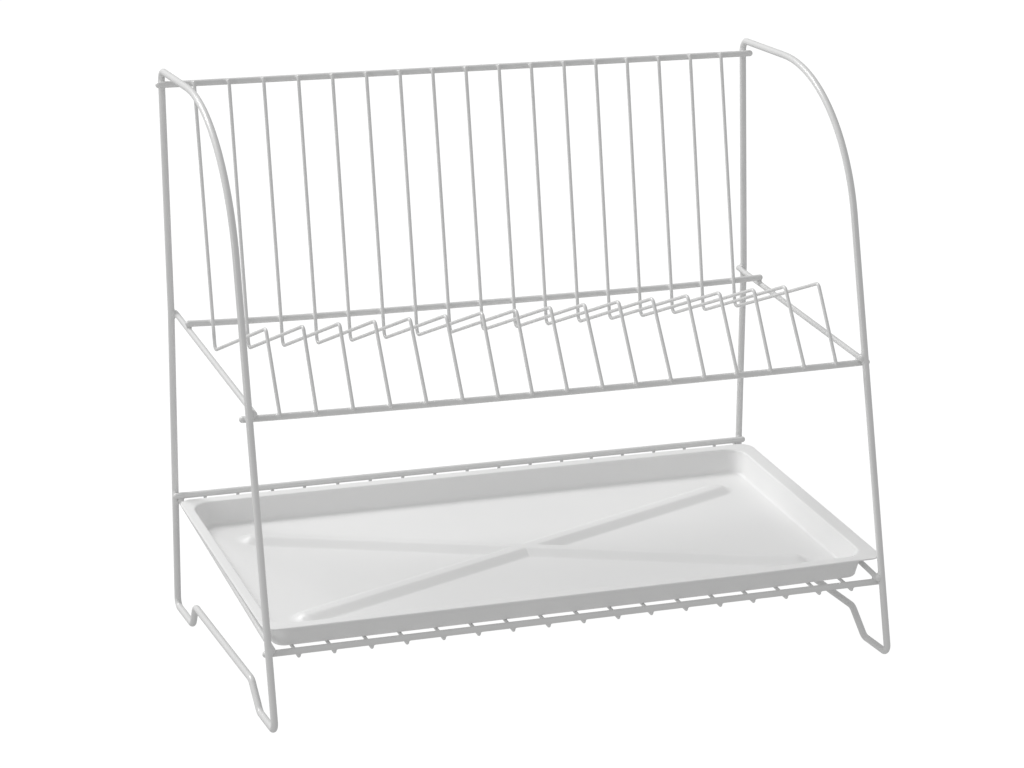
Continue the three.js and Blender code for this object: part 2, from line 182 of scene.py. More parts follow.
@dataclass
class Wire:
    """A round coated wire along a line, which pools its coating where it meets other wires."""

    name: str
    line: np.ndarray
    radius: float
    facets: int
    closed: bool = False
    pool_reach: float = 2.4
    fine_step: float = 0.42
    fine_reach: float = 6.5
    coarse_step: float = 9
    contact_gap: float = 1.6
    end_rings: int = 7
    newton_steps: int = 3
    least_slope: float = 0.22
    least_square: float = 1e-9
    search_margin: float = 8
    probe_step: float = 0.5
    deep: float = -0.5
    shallow: float = -0.1

    @property
    def looped(self) -> np.ndarray:
        """The line's points, with the first repeated at the end of a closed line."""
        return np.concatenate([self.line, self.line[:1]]) if self.closed else self.line

    @property
    def places(self) -> np.ndarray:
        """The distance along the line of each of its points."""
        return np.concatenate([[0], np.cumsum(np.linalg.norm(np.diff(self.looped, axis=0), axis=1))])

    def at(self, along: np.ndarray) -> np.ndarray:
        """Returns the points of the line at these distances along it."""
        return np.stack([np.interp(along, self.places, self.looped[:, axis]) for axis in range(3)], axis=1)

    def box(self, margin: float) -> tuple[np.ndarray, np.ndarray]:
        """Returns the lowest and highest corner of the wire, grown by a margin."""
        grown = self.radius + margin
        return self.line.min(axis=0) - grown, self.line.max(axis=0) + grown

    def meets(self, other: Wire) -> bool:
        """Tells whether two wires' boxes come near each other."""
        low, high = self.box(self.contact_gap)
        other_low, other_high = other.box(self.contact_gap)
        return bool(np.all(low < other_high) and np.all(other_low < high))

    def gap_from(self, points: np.ndarray) -> tuple[np.ndarray, np.ndarray]:
        """Measures points from the wire's skin.

        Args:
            points: The points, one row each.

        Returns:
            The distances to the line less the radius, and the unit directions away from the line.
        """
        low, high = points.min(axis=0) - self.search_margin, points.max(axis=0) + self.search_margin
        starts, ends = self.looped[:-1], self.looped[1:]
        near = np.all((np.minimum(starts, ends) < high) & (np.maximum(starts, ends) > low), axis=1)
        if not near.any():
            return np.full(len(points), FAR_AWAY), np.zeros_like(points)
        starts, runs = starts[near], (ends - starts)[near]
        offsets = points[:, None] - starts[None]
        squares = np.maximum((runs * runs).sum(-1), self.least_square)
        share = np.clip((offsets * runs).sum(-1) / squares, 0, 1)
        apart = offsets - share[..., None] * runs[None]
        length = np.linalg.norm(apart, axis=-1)
        best = length.argmin(axis=1)
        row = np.arange(len(points))
        return length[row, best] - self.radius, unit(apart[row, best])

    def stations(self, others: Sequence[Wire]) -> np.ndarray:
        """Returns the places of the rings: close together at contacts with others, far apart on straights."""
        total = self.places[-1]
        probe = np.arange(0, total, self.probe_step)
        chosen = [self.places, np.arange(0, total, self.coarse_step)]
        for other in others:
            gap, _ = other.gap_from(self.at(probe))
            if gap.min() < self.radius + self.contact_gap:
                middle = probe[gap.argmin()]
                reach = self.fine_reach + other.radius
                chosen.append(np.arange(middle - reach, middle + reach, self.fine_step))
        along = np.sort(np.concatenate(chosen))
        along = along[(along >= 0) & (along < total)] if self.closed else np.clip(along, 0, total)
        along = along[np.concatenate([[True], np.diff(along) > self.fine_step / 4])]
        return along if self.closed else np.unique(np.concatenate([along[:-1], [total]]))

    def rings(self, along: np.ndarray) -> tuple[np.ndarray, np.ndarray]:
        """Carries a circle along the line.

        A ring's point is centre + radius (cos(angle) u + sin(angle) v), with u a fixed axis made square to
        the line's direction t, and v = t x u. Smaller rings close open ends with half a ball.

        Args:
            along: Distances along the line.

        Returns:
            The ring points and the outward directions there, both with shape rings, facets, 3.
        """
        centres = self.at(along)
        if self.closed:
            tangents = unit(np.roll(centres, -1, axis=0) - np.roll(centres, 1, axis=0))
        else:
            tangents = unit(np.gradient(centres, axis=0))
        lean = np.zeros(len(centres))
        if not self.closed:
            cap = np.linspace(0, QUARTER, self.end_rings, endpoint=False)[1:]
            out = np.sin(cap)[:, None] * self.radius
            first, last = centres[0] - out[::-1] * tangents[0], centres[-1] + out * tangents[-1]
            centres = np.concatenate([first, centres, last])
            tangents = np.pad(tangents, ((len(cap), len(cap)), (0, 0)), mode="edge")
            lean = np.concatenate([-cap[::-1], lean, cap])
        radii = np.cos(lean) * self.radius
        reference = np.array([0.0, 0, 1]) if abs(tangents[0][0]) > STEEP else np.array([1.0, 0, 0])
        u = unit(reference - (tangents @ reference)[:, None] * tangents)
        v = np.cross(tangents, u)
        angle = np.arange(self.facets) * 2 * math.pi / self.facets
        radial = np.cos(angle)[:, None] * u[:, None] + np.sin(angle)[:, None] * v[:, None]
        normals = radial * np.cos(lean)[:, None, None] + tangents[:, None] * np.sin(lean)[:, None, None]
        return centres[:, None] + radial * radii[:, None, None], normals

    def pooled(
        self, points: np.ndarray, normals: np.ndarray, others: Sequence[Wire]
    ) -> tuple[np.ndarray, np.ndarray]:
        """Draws the skin out into soft fillets at the welds.

        With a the gap from this wire, b from the other and h = max(0, 1 - |a - b| / reach), the skin lies
        where min(a, b) - h² reach / 4 is zero. Newton steps along a mix of the two outward directions bring
        each point there. Points deep inside the other wire stay.

        Args:
            points: Points of the plain round skin.
            normals: The outward directions there.
            others: The wires that this one may touch.

        Returns:
            The moved points, and how much coating is pooled at each, from 0 to 1.
        """
        moved = points.copy()
        amount = np.zeros(len(points))
        for other in others:
            low, high = other.box(self.pool_reach)
            near = np.flatnonzero(np.all((points > low) & (points < high), axis=1))
            if not len(near):
                continue
            first_gap, _ = other.gap_from(points[near])
            close = np.abs(first_gap) < self.pool_reach
            near, first_gap = near[close], first_gap[close]
            if not len(near):
                continue
            here = moved[near]
            for step in range(self.newton_steps):
                own_gap, own_away = self.gap_from(here) if step else (np.zeros(len(near)), normals[near])
                gap, away = other.gap_from(here)
                share = np.clip(1 - np.abs(own_gap - gap) / self.pool_reach, 0, 1)
                value = np.minimum(own_gap, gap) - share**2 * self.pool_reach / 4
                mix = np.where(gap >= own_gap, share / 2, 1 - share / 2)[:, None]
                slope = own_away * (1 - mix) + away * mix
                size = np.maximum((slope * slope).sum(-1), self.least_slope)
                here = here - slope * (value / size)[:, None]
            weight = smooth_step(first_gap, self.deep * self.pool_reach, self.shallow * self.pool_reach)
            moved[near] += (here - moved[near]) * weight[:, None]
            pool = np.clip(1 - np.abs(first_gap) / self.pool_reach, 0, 1)
            amount[near] = np.maximum(amount[near], pool)
        return moved, amount

    def surface(self, others: Sequence[Wire]) -> Surface:
        """Returns the wire's closed skin in millimetres, drawn out where it meets others."""
        close = [other for other in others if other is not self and self.meets(other)]
        points, normals = self.rings(self.stations(close))
        count = len(points)
        flat, coating = self.pooled(points.reshape(-1, 3), normals.reshape(-1, 3), close)
        skin = Surface(flat, grid_quads(count, self.facets, self.closed), coating)
        if self.closed:
            return skin
        ends = self.at(np.array([0.0, self.places[-1]]))
        ways = unit(np.stack([self.line[0] - self.line[1], self.line[-1] - self.line[-2]]))
        skin.points = np.concatenate([flat, ends + ways * self.radius])
        skin.coating = np.concatenate([coating, [0, 0]])
        j = np.arange(self.facets)
        beside = (j + 1) % self.facets
        start = count * self.facets
        last = start - self.facets
        front = np.stack([np.full_like(j, start), beside, j], axis=1)
        back = np.stack([np.full_like(j, start + 1), last + j, last + beside], axis=1)
        skin.tris = np.concatenate([front, back])
        return skin


# Shader building


def math_node(operation: str, swapped: bool = False) -> Callable[[Socket, object], Socket]:
    """Makes an operator of Socket that adds a Math node, with the other value first if swapped."""

    def combine(own: Socket, other: object) -> Socket:
        """Returns the node's result."""
        values = {0: other, 1: own} if swapped else {0: own, 1: other}
        return own.tree.node("ShaderNodeMath", {"operation": operation}, values)

    return combine


@dataclass
class Socket:
    """A shader value that can be added, scaled and mixed like a number."""

    tree: ShaderTree
    socket: bpy.types.NodeSocket

    __add__, __radd__ = math_node("ADD"), math_node("ADD", swapped=True)
    __sub__, __rsub__ = math_node("SUBTRACT"), math_node("SUBTRACT", swapped=True)
    __mul__ = math_node("MULTIPLY")

    def stepped(self, low: float, high: float) -> Socket:
        """Returns a smooth step from 0 at low to 1 at high."""
        settings = {"interpolation_type": "SMOOTHSTEP", "clamp": True}
        return self.tree.node("ShaderNodeMapRange", settings, {0: self, 1: low, 2: high, 3: 0.0, 4: 1.0})


class ShaderTree:
    """The node tree of one new material."""

    patch_detail = 3.0
    patch_edges = (0.3, 0.7)

    def __init__(self, name: str) -> None:
        """Makes the material with an empty tree and its output."""
        self.material = bpy.data.materials.new(name)
        self.material.use_nodes = True
        self.tree = self.material.node_tree
        self.tree.nodes.clear()

    def node(
        self, kind: str, settings: dict[str, object], values: dict[object, object], output: object = 0
    ) -> Socket:
        """Adds a node.

        Args:
            kind: The node's type.
            settings: Its attributes, set before its sockets.
            values: Numbers, tuples or Sockets for its inputs, by name or number.
            output: The output to return, by name or number.

        Returns:
            That output as a Socket.
        """
        made = self.tree.nodes.new(kind)
        for key, value in settings.items():
            setattr(made, key, value)
        for key, value in values.items():
            if isinstance(value, Socket):
                self.tree.links.new(value.socket, made.inputs[key])
            else:
                made.inputs[key].default_value = value
        return Socket(self, made.outputs[output])

    def place(self) -> Socket:
        """Returns the object coordinates, in metres."""
        return self.node("ShaderNodeTexCoord", {}, {}, "Object")

    def noise(self, scale: float, detail: float = 2.0, roughness: float = 0.5) -> Socket:
        """Returns soft noise of this many features per metre."""
        values = {"Vector": self.place(), "Scale": scale, "Detail": detail, "Roughness": roughness}
        return self.node("ShaderNodeTexNoise", {}, values)

    def patches(self, scale: float) -> Socket:
        """Returns soft-edged patches, this many per metre."""
        return self.noise(scale, self.patch_detail).stepped(*self.patch_edges)

    def coating(self) -> Socket:
        """Returns the mesh's own coating value."""
        return self.node("ShaderNodeAttribute", {"attribute_name": COATING}, {}, "Fac")

    def mix_colour(self, factor: Socket, first: Sequence[float], second: Sequence[float]) -> Socket:
        """Mixes two colours, given as red, green and blue."""
        values = {0: factor, 6: (*first, 1.0), 7: (*second, 1.0)}
        return self.node("ShaderNodeMix", {"data_type": "RGBA"}, values, 2)

    def bump(self, height: Socket, depth: float) -> Socket:
        """Turns a height from 0 to 1 into a bumped normal, depth in metres."""
        return self.node("ShaderNodeBump", {}, {"Height": height, "Distance": depth, "Strength": 1.0})

    def finish(self, values: dict[object, object]) -> bpy.types.Material:
        """Adds the surface shader with these inputs and its output, and returns the material."""
        surface = self.node("ShaderNodeBsdfPrincipled", {}, values)
        output = self.tree.nodes.new("ShaderNodeOutputMaterial")
        self.tree.links.new(surface.socket, output.inputs["Surface"])
        return self.material


# Finishes


@dataclass(frozen=True)
class CoatedWireFinish:
    """White dipped coating on steel wire: satin, faintly rippled, thicker and glossier in the welds."""

    name: str = "white_wire_coating"
    light: tuple[float, float, float] = (0.78, 0.78, 0.776)
    shade: tuple[float, float, float] = (0.75, 0.752, 0.749)
    roughness: float = 0.36
    roughness_spread: float = 0.10
    pooled_gloss: float = 0.10
    pooled_evenness: float = 0.5
    coat: float = 0.38
    coat_roughness: float = 0.16
    patches_per_metre: float = 22
    ripples_per_metre: float = 260
    ripple_depth: float = 0.00005
    specks_per_metre: float = 1500
    speck_depth: float = 0.00001

    def build(self) -> bpy.types.Material:
        """Returns the material: broad patches of tone, and a bump of ripples with fine specks on them."""
        tree = ShaderTree(self.name)
        coating = tree.coating()
        patches = tree.patches(self.patches_per_metre)
        ripple = tree.noise(self.ripples_per_metre, detail=1.0)
        specks = tree.noise(self.specks_per_metre, roughness=0.6)
        tone = tree.mix_colour(patches * (1 - coating * self.pooled_evenness), self.light, self.shade)
        rough = self.roughness + (ripple - 0.5) * self.roughness_spread - coating * self.pooled_gloss
        height = ripple + specks * (self.speck_depth / self.ripple_depth)
        return tree.finish(
            {
                "Base Color": tone,
                "Roughness": rough,
                "Coat Weight": self.coat + coating * self.coat,
                "Coat Roughness": self.coat_roughness,
                "Normal": tree.bump(height, self.ripple_depth),
            }
        )


@dataclass(frozen=True)
class MouldedPlasticFinish:
    """White moulded plastic: a fine even grain, faint flow clouds and a worn gloss on what stands proud."""

    name: str = "white_moulded_plastic"
    light: tuple[float, float, float] = (0.91, 0.91, 0.906)
    shade: tuple[float, float, float] = (0.89, 0.891, 0.888)
    roughness: float = 0.42
    roughness_spread: float = 0.08
    worn_gloss: float = 0.08
    clouds_per_metre: float = 9
    grain_per_metre: float = 1700
    grain_depth: float = 0.000022
    waves_per_metre: float = 55
    wave_share: float = 1.6

    def build(self) -> bpy.types.Material:
        """Returns the material: broad clouds of tone, and a bump of fine grain on slow waves."""
        tree = ShaderTree(self.name)
        worn = tree.coating()
        clouds = tree.patches(self.clouds_per_metre)
        grain = tree.noise(self.grain_per_metre, roughness=0.55)
        waves = tree.noise(self.waves_per_metre, detail=1.0)
        rough = self.roughness + (grain - 0.5) * self.roughness_spread - worn * self.worn_gloss
        height = grain + waves * self.wave_share
        return tree.finish(
            {
                "Base Color": tree.mix_colour(clouds, self.light, self.shade),
                "Roughness": rough,
                "Normal": tree.bump(height, self.grain_depth),
            }
        )


@dataclass(frozen=True)
class PaleFloorFinish:
    """A studio floor that is pale by its own glow.

    It glows just white and reflects little. A floor brighter than white would eat into the wires, since each
    pixel on a wire's edge mixes the two before it is clipped.
    """

    name: str = "pale_floor"
    colour: tuple[float, float, float] = (0.05, 0.05, 0.05)
    glow: float = 0.98
    roughness: float = 0.9
    clouds_per_metre: float = 1.5
    cloud_tone: float = 0.99

    def build(self) -> bpy.types.Material:
        """Returns the material, with faint broad clouds in its tone."""
        tree = ShaderTree(self.name)
        faint = tuple(self.cloud_tone * part for part in self.colour)
        return tree.finish(
            {
                "Base Color": tree.mix_colour(tree.noise(self.clouds_per_metre), self.colour, faint),
                "Roughness": self.roughness,
                "Emission Color": WHITE,
                "Emission Strength": self.glow,
            }
        )


# The drawing


@dataclass(frozen=True)
class Drawing:
    """Sizes that several sub-assemblies share, and the places of the bars that follow from them."""

    frame_wire: float = 5.2
    bar_wire: float = 4.9
    side_bar_wire: float = 4.2
    thin_wire: float = 2.6
    weld_gap: float = 0.3
    leg_spacing: float = 480
    top_wire_height: float = 424.5
    foot_spread: float = 279.5
    front_lean_degrees: float = 14.6
    kink_height: float = 240
    top_set_back: float = 14.3
    top_bar_height: float = 414.5
    plate_front_height: float = 215
    plate_tilt_degrees: float = 4.8
    plate_back_inset: float = 39
    drip_front_height: float = 54.1
    drip_back_height: float = 93.9
    drip_tilt_degrees: float = 4.9
    wire_pitch: float = 27.1
    middle_y: float = -132.118
    plate_front_sag: float = 1.7
    plate_back_sag: float = 2.5
    plate_back_rise: float = 0.4

    def place(self, points: np.ndarray) -> np.ndarray:
        """Turns points on the drawing into metres in the model's frame."""
        return (points - np.array([0, self.middle_y, 0])) * METRES

    @property
    def leg_plane(self) -> float:
        """How far a side frame stands from the middle."""
        return self.leg_spacing / 2

    @property
    def front_slope(self) -> float:
        """How far the front legs lean back for each unit of height."""
        return math.tan(math.radians(self.front_lean_degrees))

    @property
    def lean_length(self) -> float:
        """The length of a front leg for each unit of height."""
        return math.hypot(1, self.front_slope)

    @property
    def leg_to_bar(self) -> float:
        """The distance between the centres of a leg and a bar that is welded to it."""
        return (self.frame_wire + self.bar_wire) / 2 + self.weld_gap

    @property
    def bar_to_side_bar(self) -> float:
        """The distance between the centres of a cross bar and a side bar."""
        return (self.bar_wire + self.side_bar_wire) / 2 + self.weld_gap

    @property
    def bar_to_thin(self) -> float:
        """The distance between the centres of a cross bar and a thin wire."""
        return (self.bar_wire + self.thin_wire) / 2 + self.weld_gap

    def front_leg_y(self, z: float) -> float:
        """Returns the middle of a front leg at a height."""
        return -self.foot_spread + self.front_slope * (z - self.frame_wire / 2)

    def back_leg_y(self, z: float) -> float:
        """Returns the middle of a back leg at a height."""
        share = (z - self.kink_height) / (self.top_wire_height - self.kink_height)
        return self.top_set_back * max(share, 0)

    @property
    def top_bar(self) -> np.ndarray:
        """The top back bar's y and z."""
        return np.array([self.back_leg_y(self.top_bar_height) - self.leg_to_bar, self.top_bar_height])

    def front_bar(self, height: float) -> np.ndarray:
        """Returns the y and z of a bar that is welded behind the front legs at a height."""
        return np.array([self.front_leg_y(height) + self.leg_to_bar * self.lean_length, height])

    @staticmethod
    def past(bar: np.ndarray, distance: float, slope: float, y: float) -> float:
        """Returns the height at y of a slope that passes a bar at a distance above it."""
        return bar[1] + distance * math.hypot(1, slope) + slope * (y - bar[0])

    @property
    def plate_slope(self) -> float:
        """The slope of the plate shelf's side bars."""
        return math.tan(math.radians(self.plate_tilt_degrees))

    @property
    def plate_front(self) -> np.ndarray:
        """The plate shelf's front bar's y and z."""
        return self.front_bar(self.plate_front_height)

    @property
    def plate_back(self) -> np.ndarray:
        """The plate shelf's back bar's y and z."""
        y = -self.plate_back_inset
        return np.array([y, self.plate_side_z(y) + self.bar_to_side_bar * math.hypot(1, self.plate_slope)])

    def plate_side_z(self, y: float) -> float:
        """Returns the height of the plate shelf's side bars at y."""
        return self.past(self.plate_front, self.bar_to_side_bar, self.plate_slope, y)

    @property
    def drip_front(self) -> np.ndarray:
        """The drip shelf's front bar's y and z."""
        return self.front_bar(self.drip_front_height)

    @property
    def drip_back(self) -> np.ndarray:
        """The drip shelf's back bar's y and z."""
        return np.array([-self.leg_to_bar, self.drip_back_height])

    @property
    def drip_side_slope(self) -> float:
        """The slope of side bars that pass over the front bar and under the back bar."""
        run = self.drip_back - self.drip_front
        crossing = math.asin(2 * self.bar_to_side_bar / float(np.hypot(*run)))
        return math.tan(math.atan2(run[1], run[0]) - crossing)

    def drip_side_z(self, y: float) -> float:
        """Returns the height of the drip shelf's side bars at y."""
        return self.past(self.drip_front, self.bar_to_side_bar, self.drip_side_slope, y)

    @property
    def drip_slope(self) -> float:
        """The slope of the drip wires and of the tray."""
        return math.tan(math.radians(self.drip_tilt_degrees))

    def drip_wire_z(self, y: float) -> float:
        """Returns the height of the drip wires' long run at y."""
        return self.past(self.drip_front, -self.bar_to_thin, self.drip_slope, y)

    def front_sag(self, x: np.ndarray) -> np.ndarray:
        """Returns how far the plate shelf's front bar hangs at x: a parabola between the legs."""
        return -self.plate_front_sag * np.clip(1 - (x / self.leg_plane) ** 2, 0, 1)

    def back_sag(self, x: np.ndarray) -> np.ndarray:
        """Returns how far the plate shelf's back bar hangs at x: flat in the middle, up at the ends."""
        return self.plate_back_rise - self.plate_back_sag * np.clip(1 - (x / self.leg_plane) ** 4, 0, 1)


def in_plane(x: float, flat: Sequence[Sequence[float]]) -> np.ndarray:
    """Returns points with this x from pairs of y and z."""
    pairs = np.array(flat, float)
    return np.column_stack([np.full(len(pairs), x), pairs])


# Sub-assemblies


@dataclass
class SideFrames:
    """The two closed bent wires: legs, arch, ground bar and feet."""

    drawing: Drawing
    arch_radius: float = 136
    top_corner_radius: float = 8
    kink_radius: float = 30
    heel_radius: float = 7
    toe_radius: float = 5.5
    front_ramp_radius: float = 10
    back_ramp_radius: float = 7
    front_foot: float = 39.5
    front_ramp: float = 21.8
    back_foot: float = 47.8
    back_ramp: float = 9.1
    ground_bar_height: float = 20
    facets: int = 32
    turn_step: float = 2
    pool_reach: float = 3.0

    def wires(self) -> list[Wire]:
        """Returns both frames as closed wires."""
        d = self.drawing
        seat = d.frame_wire / 2
        foot_end = -d.foot_spread + self.front_foot
        corners = [
            (d.top_set_back, d.top_wire_height, self.top_corner_radius),
            (d.front_leg_y(d.top_wire_height), d.top_wire_height, self.arch_radius),
            (-d.foot_spread, seat, self.toe_radius),
            (foot_end, seat, self.front_ramp_radius),
            (foot_end + self.front_ramp, self.ground_bar_height, self.front_ramp_radius),
            (-self.back_foot - self.back_ramp, self.ground_bar_height, self.back_ramp_radius),
            (-self.back_foot, seat, self.back_ramp_radius),
            (0, seat, self.heel_radius),
            (0, d.kink_height, self.kink_radius),
        ]
        radii = [corner[2] for corner in corners]
        made = []
        for side in Side:
            points = in_plane(side.value * d.leg_plane, [corner[:2] for corner in corners])
            line = rounded_line(points, radii, self.turn_step, closed=True)
            name = f"side_frame_{side.name.lower()}"
            made.append(Wire(name, line, seat, self.facets, closed=True, pool_reach=self.pool_reach))
        return made


@dataclass
class Bars:
    """The five cross bars and the four side bars of the shelves."""

    drawing: Drawing
    leg_overhang: float = 6
    drip_overhang: float = 3.2
    plate_back_overhang: float = 3.9
    plate_side_front: float = 6.3
    plate_side_back: float = 4.8
    drip_side_front: float = 6.4
    drip_side_back: float = 7.4
    plate_side_planes: tuple[float, float] = (236.0, 236.6)
    drip_side_planes: tuple[float, float] = (236.9, 236.6)
    samples: int = 49
    facets: int = 30
    side_pool_reach: float = 2.8

    def cross_bar(
        self, name: str, bar: np.ndarray, half: float, sag: Callable[[np.ndarray], np.ndarray] = np.zeros_like
    ) -> Wire:
        """Returns a bar along x at a y and z, half as long on each side, that hangs by a function of x."""
        radius = self.drawing.bar_wire / 2
        x = np.linspace(radius - half, half - radius, self.samples)
        line = np.column_stack([x, np.full_like(x, bar[0]), bar[1] + sag(x)])
        return Wire(name, line, radius, self.facets)

    def side_bar(
        self, name: str, x: float, front: float, back: float, height: Callable[[float], float]
    ) -> Wire:
        """Returns a bar along y from front to back, at the height that a function of y gives."""
        radius = self.drawing.side_bar_wire / 2
        line = np.array([[x, front + radius, height(front)], [x, back - radius, height(back)]])
        return Wire(name, line, radius, self.facets, pool_reach=self.side_pool_reach)

    def wires(self) -> list[Wire]:
        """Returns all nine bars."""
        d = self.drawing
        full, drip = d.leg_plane + self.leg_overhang, d.leg_plane + self.drip_overhang
        inner = d.leg_plane - d.frame_wire / 2 - d.side_bar_wire / 2 - d.weld_gap + self.plate_back_overhang
        made = [
            self.cross_bar("top_back_bar", d.top_bar, full),
            self.cross_bar("plate_shelf_back_bar", d.plate_back, inner, d.back_sag),
            self.cross_bar("plate_shelf_front_bar", d.plate_front, full, d.front_sag),
            self.cross_bar("drip_shelf_back_bar", d.drip_back, drip),
            self.cross_bar("drip_shelf_front_bar", d.drip_front, drip),
        ]
        plate_ends = (d.plate_front[0] - self.plate_side_front, self.plate_side_back)
        drip_ends = (d.drip_front[0] - self.drip_side_front, d.drip_back[0] + self.drip_side_back)
        shelves = [
            ("plate", self.plate_side_planes, plate_ends, d.plate_side_z),
            ("drip", self.drip_side_planes, drip_ends, d.drip_side_z),
        ]
        for index, side in enumerate(Side):
            for shelf, planes, ends, height in shelves:
                name = f"{shelf}_shelf_side_bar_{side.name.lower()}"
                made.append(self.side_bar(name, side.value * planes[index], *ends, height))
        return made


@dataclass
class ThinWires:
    """A row of thin wires, bent by hand and so a little uneven."""

    drawing: Drawing
    count: int = 17
    front_overrun: float = 1.2
    unevenness: float = 0.7
    facets: int = 24
    turn_step: float = 6
    coarse_step: float = 14
    fine_reach: float = 4

    def places(self) -> np.ndarray:
        """Returns each wire's number counted from the middle of the row."""
        return np.arange(self.count) - (self.count - 1) / 2

    def wire(self, name: str, corners: np.ndarray, radii: Sequence[float]) -> Wire:
        """Returns a thin wire with these corners and bend radii."""
        line = rounded_line(corners, radii, self.turn_step)
        steps = {"coarse_step": self.coarse_step, "fine_reach": self.fine_reach}
        return Wire(name, line, self.drawing.thin_wire / 2, self.facets, **steps)


@dataclass
class PlateShelf(ThinWires):
    """The seventeen thin wires that fold into plate slots."""

    top_overrun: float = 1.6
    bend_drop: float = 21
    bend_radius: float = 4.5
    peak_set_back: float = 32.7
    peak_rise: float = 56
    peak_radius: float = 4.5
    bend_shift: float = -4.0
    bend_pitch: float = 26.8
    seed: int = 11

    def flat_corners(self) -> np.ndarray:
        """Works out the y and z of a wire's two ends and two bends.

        The back passes in front of the top bar and the back bar. The short front leg is the tangent from the
        peak to the circle of touch round the front bar's middle.

        Returns:
            Four rows of y and z, from the top end to the front end.
        """
        d = self.drawing
        top, back, front = d.top_bar, d.plate_back, d.plate_front
        down = unit(back - top)
        forwards = np.array([down[1], -down[0]])
        top_end = top + forwards * d.bar_to_thin - down * (self.top_overrun - d.thin_wire / 2)
        low = back + forwards * d.bar_to_thin + down * self.bend_drop
        peak = front + np.array([self.peak_set_back, self.peak_rise])
        distance = float(np.hypot(*(front - peak)))
        spread = math.asin(d.bar_to_thin / distance)
        way = unit(front - peak)
        turned = way * math.cos(spread) + np.array([way[1], -way[0]]) * math.sin(spread)
        reach = math.sqrt(distance**2 - d.bar_to_thin**2) + self.front_overrun - d.thin_wire / 2
        return np.array([top_end, low, peak, peak + turned * reach])

    def wires(self) -> list[Wire]:
        """Returns the seventeen wires, each leaning a little to one side at its low bend."""
        d = self.drawing
        flat = self.flat_corners()
        random = np.random.default_rng(self.seed)
        radii = [0, self.bend_radius, self.peak_radius, 0]
        made = []
        for index, place in enumerate(self.places(), 1):
            x = place * d.wire_pitch
            noise = random.uniform(-self.unevenness, self.unevenness, 3)
            low_x = place * self.bend_pitch + self.bend_shift + noise[1]
            corners = in_plane(x, flat)
            corners[:, 0] = [x + noise[0] / 2, low_x, x + noise[2], x + noise[0]]
            corners[:, 2] += [0, d.back_sag(low_x), d.front_sag(x), d.front_sag(x)]
            made.append(self.wire(f"plate_wire_{index:02d}", corners, radii))
        return made


@dataclass
class DripShelf(ThinWires):
    """The seventeen thin wires under the tray, turned up behind the back bar."""

    top_overrun: float = 1.0
    hook_radius: float = 5
    seed: int = 23

    def wires(self) -> list[Wire]:
        """Returns the seventeen wires."""
        d = self.drawing
        front = d.drip_front[0] - self.front_overrun + d.thin_wire / 2
        hook = d.drip_back[0] + d.bar_to_thin
        top = d.drip_back[1] + self.top_overrun - d.thin_wire / 2
        flat = [(front, d.drip_wire_z(front)), (hook, d.drip_wire_z(hook)), (hook, top)]
        random = np.random.default_rng(self.seed)
        made = []
        for index, place in enumerate(self.places(), 1):
            corners = in_plane(place * d.wire_pitch, flat)
            noise = random.uniform(-self.unevenness, self.unevenness, 2)
            corners[:, 0] += [noise[0], noise[1], noise[1]]
            made.append(self.wire(f"drip_wire_{index:02d}", corners, [0, self.hook_radius, 0]))
        return made


@dataclass
class Rack:
    """All welded wires, one object each."""

    drawing: Drawing
    finish: CoatedWireFinish

    def build(self) -> list[bpy.types.Object]:
        """Returns one new object for each wire, in place of the plain ones."""
        kinds = (SideFrames, Bars, PlateShelf, DripShelf)
        wires = [wire for kind in kinds for wire in kind(self.drawing).wires()]
        material = self.finish.build()
        made = []
        for wire in wires:
            surface = wire.surface(wires)
            surface.points = self.drawing.place(surface.points)
            made.append(add_piece(surface, wire.name, material, "rack"))
        return made


